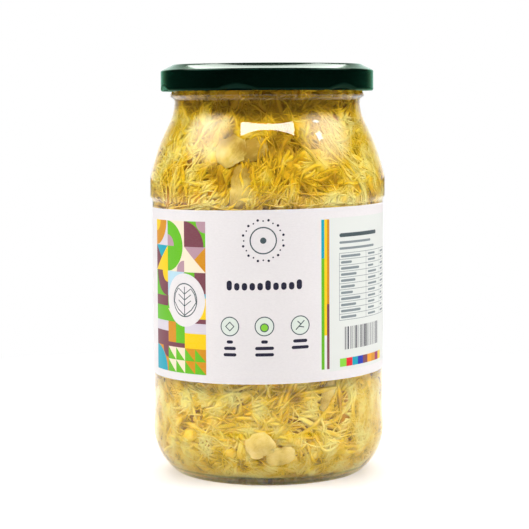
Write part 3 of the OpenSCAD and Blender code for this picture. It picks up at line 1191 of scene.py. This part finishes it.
def make_core(wall, finish):
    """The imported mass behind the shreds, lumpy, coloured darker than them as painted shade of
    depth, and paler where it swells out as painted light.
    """
    line = [point for point in cavity_line(CORE_DEPTH) if point[1] < FILL_HIGH.z]
    line += [(BORE_R - CORE_DEPTH, FILL_HIGH.z), (0, FILL_HIGH.z)]
    bm = turned(line, CORE_STEPS)
    for _ in range(5):
        long = [edge for edge in bm.edges if edge.calc_length() > CORE_EDGE]
        if not long:
            break
        bmesh.ops.subdivide_edges(bm, edges=long, cuts=1, use_grid_fill=True)
    bmesh.ops.triangulate(bm, faces=bm.faces)
    bm.normal_update()
    tone_and_shade = bm.verts.layers.float.new("tone_and_shade")
    for vert in bm.verts:
        turn = math.atan2(vert.co.x, -vert.co.y)
        s = np.interp(vert.co.z, wall.z, wall.run)
        lump = wall.lump(turn, s)
        # painted light and shade: paler where the mass swells out to the glass, darker where it
        # falls back
        vert[tone_and_shade] = 0.2 + 0.2 * lump
        if MM * 12 < vert.co.z < FILL_HIGH.z - MM:
            vert.co += vert.normal * (0.3 * lump - 0.15) * MM
    smooth(bm, 180)
    finished("packed_core", bm, "sauerkraut", finish, replaces="sauerkraut")


def shred_finish():
    return cabbage("shred", srgb(162, 121, 10), srgb(243, 191, 30), srgb(253, 224, 120))


def slice_finish():
    """Stalk is paler than leaf, with finer fibres and broad clouds in it."""
    dark, mid, pale = srgb(174, 138, 46), srgb(222, 193, 98), srgb(244, 222, 150)
    return cabbage("slice", dark, mid, pale, 0.8, (50, 4, 1), 1.2)


def core_finish():
    # darker, deeper colours than the shreds': painted shade of the depth the core lies at
    dark, mid, pale = srgb(160, 106, 0), srgb(220, 154, 6), srgb(244, 192, 46)
    return cabbage("core", dark, mid, pale, 0.0, (20, 20, 1))


def make_sauerkraut():
    """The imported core, and the shreds, flakes and slices that lie between it and the glass."""
    wall = Wall()
    leaf, stalk = shred_finish(), slice_finish()
    make_core(wall, core_finish())
    rng = np.random.default_rng(11)
    make_shreds(wall, rng, "fine_shreds", FINE, leaf)
    make_shreds(wall, rng, "thread_shreds", THREAD, leaf)
    make_shreds(wall, rng, "broad_shreds", BROAD, leaf)
    make_shreds(wall, rng, "curled_shreds", CURLED, leaf)
    make_shreds(wall, rng, "leaf_flakes", FLAKE, leaf)
    make_shreds(wall, rng, "stalk_slices", SLICE, stalk)


# -------------------- floor, lamps and camera

FLOOR_HALF = 6
SENSOR = 36
LENS = 121.2
CAMERA_AT = (-1.36 * MM, -713.7 * MM, 145.8 * MM)
CAMERA_DIP = 5.07
CAMERA_ROLL = -0.29
LAMPS_AIM = (0, 0, 0.12)
WHITE = (1, 1, 1, 1)


def make_stage():
    """A pale floor that fades to plain white away from the jar."""
    bm = bmesh.new()
    bmesh.ops.create_grid(bm, x_segments=1, y_segments=1, size=FLOOR_HALF)
    mesh = bpy.data.meshes.new("floor")
    bm.to_mesh(mesh)
    bm.free()
    floor = linked("floor", mesh)
    f = Finish("pale_floor")
    grain = f.noise(f.coordinates(), 40, 2)
    f.set(Base_Color=f.ramp(grain, (0.3, 0.79), (0.7, 0.81)), Roughness=0.8, Specular_IOR_Level=0.0)
    away = f.add("VectorMath", {"operation": "LENGTH"}, n0=f.coordinates()).outputs["Value"]
    fade = f.ramp(f.maths("MULTIPLY", away, 1.4), (0.12, 0.0), (0.5, 1.0))
    seen = f.add("LightPath").outputs["Is Camera Ray"]
    white = f.add("Emission", Color=WHITE, Strength=1.0).outputs[0]
    far = f.maths("MULTIPLY", fade, seen)
    mixed = f.add("MixShader", Fac=far, n1=f.shader.outputs[0], n2=white)
    f.put(f.output, "Surface", mixed.outputs[0])
    mesh.materials.append(f.material)


def softbox(name, aim, azimuth, elevation, distance, size, watts, soft=0.0):
    """A rectangular lamp that faces the aim, at an azimuth from the front and an elevation.
    Soft is the share of it, from the edges in, over which its light falls away."""
    a, e = math.radians(azimuth), math.radians(elevation)
    way = Vector((math.sin(a) * math.cos(e), -math.cos(a) * math.cos(e), math.sin(e)))
    lamp = bpy.data.lights.new(name, "AREA")
    lamp.shape = "RECTANGLE"
    lamp.size, lamp.size_y = size
    lamp.energy = watts
    box = linked(name, lamp)
    box.location = Vector(aim) + way * distance
    box.rotation_mode = "QUATERNION"
    box.rotation_quaternion = way.to_track_quat("Z", "Y")
    if soft:
        fade_edges(lamp, soft)


def fade_edges(lamp, soft):
    """Fades a softbox from its middle to its edges, as a diffuser does."""
    lamp.use_nodes = True
    tree = Nodes(lamp.node_tree)
    across = tree.add("NewGeometry").outputs["Parametric"]
    centred = tree.add("Mapping", Vector=across, Location=(-1, -1, 0), Scale=(2, 2, 0))
    away = tree.add("VectorMath", {"operation": "LENGTH"}, n0=centred.outputs[0])
    fade = tree.add(
        "MapRange",
        {"interpolation_type": "SMOOTHSTEP"},
        Value=away.outputs["Value"],
        From_Min=1.05 - soft,
        From_Max=1.05,
        To_Min=2.2,
        To_Max=0.0,
    )
    tree.put(tree.nodes["Emission"], "Strength", fade.outputs["Result"])


def make_lamps():
    """Two soft boxes at the sides, a strip above the front, a small one for the spark of light
    on the shoulder, and one behind."""
    softbox("lamp_top", LAMPS_AIM, 0, 53.5, 0.95, (0.84, 0.1), 5.2)
    softbox("lamp_left", LAMPS_AIM, -80, 41, 1.2, (1.5, 0.95), 17.6, soft=0.9)
    softbox("lamp_right", LAMPS_AIM, 80, 41, 1.2, (1.5, 0.95), 16.4, soft=0.9)
    softbox("lamp_spot", LAMPS_AIM, 67, 39, 0.9, (0.09, 0.07), 0.35)
    softbox("lamp_back", LAMPS_AIM, 180, 50, 1.3, (1.0, 0.6), 14.0)


def make_world():
    """A white sweep behind and beside the jar, and a dim room in front of it."""
    world = bpy.data.worlds.new("studio")
    bpy.context.scene.world = world
    world.use_nodes = True
    tree = Nodes(world.node_tree)
    where = tree.add("TexCoord").outputs["Generated"]
    behind = tree.add("SeparateXYZ", Vector=where).outputs["Y"]
    light = tree.add(
        "MapRange", Value=behind, From_Min=0.72, From_Max=0.97, To_Min=0.07, To_Max=1.2
    )
    sweep = tree.nodes["Background"]
    tree.put(sweep, "Strength", light.outputs["Result"])
    tree.put(sweep, "Color", WHITE)
    plain = tree.add("Background", Color=WHITE, Strength=1.0).outputs[0]
    seen = tree.add("LightPath").outputs["Is Camera Ray"]
    mixed = tree.add("MixShader", Fac=seen, n1=sweep.outputs[0], n2=plain)
    tree.put(tree.nodes["World Output"], "Surface", mixed.outputs[0])


def make_camera():
    """A long lens at about the height of the neck, that looks slightly down."""
    data = bpy.data.cameras.new("camera")
    data.sensor_width = SENSOR
    data.lens = LENS
    camera = linked("camera", data)
    camera.location = CAMERA_AT
    pitch, roll = math.radians(90 - CAMERA_DIP), math.radians(CAMERA_ROLL)
    turn = Matrix.Rotation(pitch, 4, "X") @ Matrix.Rotation(roll, 4, "Z")
    camera.rotation_mode = "QUATERNION"
    camera.rotation_quaternion = turn.to_quaternion()
    bpy.context.scene.camera = camera


make_camera()
make_world()
make_lamps()
make_stage()
make_jar()
make_lid()
make_label()
make_sauerkraut()

bpy.context.scene.view_settings.view_transform = "Standard"
